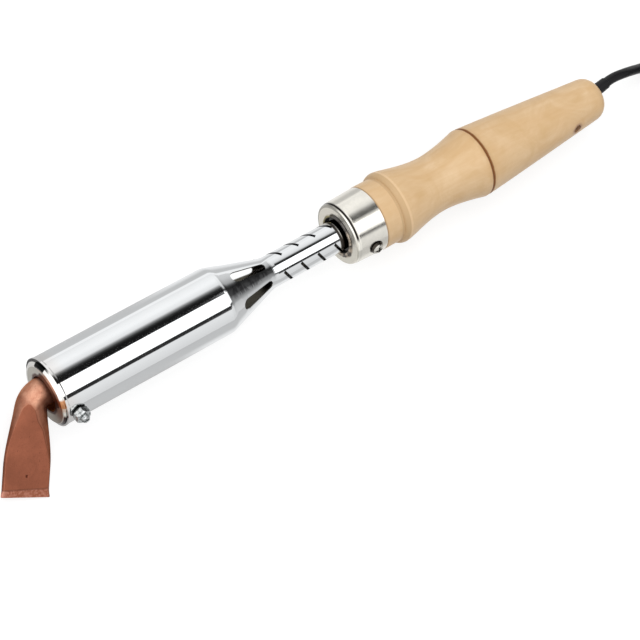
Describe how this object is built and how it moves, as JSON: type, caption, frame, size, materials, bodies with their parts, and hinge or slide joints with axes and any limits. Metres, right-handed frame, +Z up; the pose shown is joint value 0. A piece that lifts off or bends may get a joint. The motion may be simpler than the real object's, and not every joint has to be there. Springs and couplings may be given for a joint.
{
  "type": "electric soldering iron",
  "caption": "Electric soldering iron with a bent copper bit in a vented steel barrel, a slit neck, a ferrule, a turned wooden handle and a corded plug.",
  "frame": {"origin": "under the middle of the tool's box, on the surface it lies on; the free cord, its coil and plug are left out of that box", "axes": "+X along the tool from the bit to the handle, +Z up from the surface, +Y to the side away from the blade"},
  "size_m": [0.537, 0.0778, 0.0353],
  "materials": {
    "copper": "matte, forged",
    "chromed_steel": "polished chrome",
    "nickelled_steel": "polished nickel, warm tint",
    "bright_steel": "satin",
    "plain_steel": "oxidised",
    "resistance_wire": "dull",
    "mica": "mica sheet",
    "ceramic": "unglazed ceramic",
    "fibre": "woven glass sleeve",
    "brass": "plain",
    "wood": "turned, clear varnish",
    "dark_fibre": "pressed fibre",
    "black_rubber": "smooth",
    "black_plastic": "moulded"
  },
  "bodies": {
    "iron": {"barrel": "chromed_steel", "nose_ring": "nickelled_steel", "core_tube": "plain_steel", "mica_wrap": "mica", "heater_winding": "resistance_wire", "outer_wrap": "mica", "rear_disc": "ceramic", "lead_wires": "resistance_wire", "lead_sleeves": "fibre", "ferrule": "nickelled_steel", "ferrule_screws": "bright_steel", "handle": "wood", "terminal_block": "ceramic", "terminal_screws": "brass", "cord_cores": "brass", "inner_cord": "black_rubber", "cord_screw": "plain_steel", "cord_pad": "dark_fibre", "cord_sleeve": "black_rubber", "cord": "black_rubber", "cord_coil": "black_rubber", "cord_end": "black_rubber", "coil_tie": "black_plastic", "plug_body": "black_plastic", "plug_pins": "bright_steel"},
    "bit": {"copper_bit": "copper"},
    "screw": {"clamp_screw": "bright_steel"},
    "nut": {"clamp_nut": "bright_steel"}
  },
  "joints": [
    {"name": "bit_slide", "type": "slide", "parent": "iron", "child": "bit", "axis": [-1, 0, 0], "range_m": [-0.001, 0.078]},
    {"name": "clamp_screw_turn", "type": "hinge", "parent": "iron", "child": "screw", "pos_m": [-0.13291, -0.00616, 0.02795], "axis": [0, -0.8572, 0.515], "range_deg": [0, 1080]},
    {"name": "clamp_nut_turn", "type": "hinge", "parent": "iron", "child": "nut", "pos_m": [-0.13291, -0.00616, 0.02795], "axis": [0, -0.8572, 0.515], "range_deg": [0, 1080]}
  ]
}
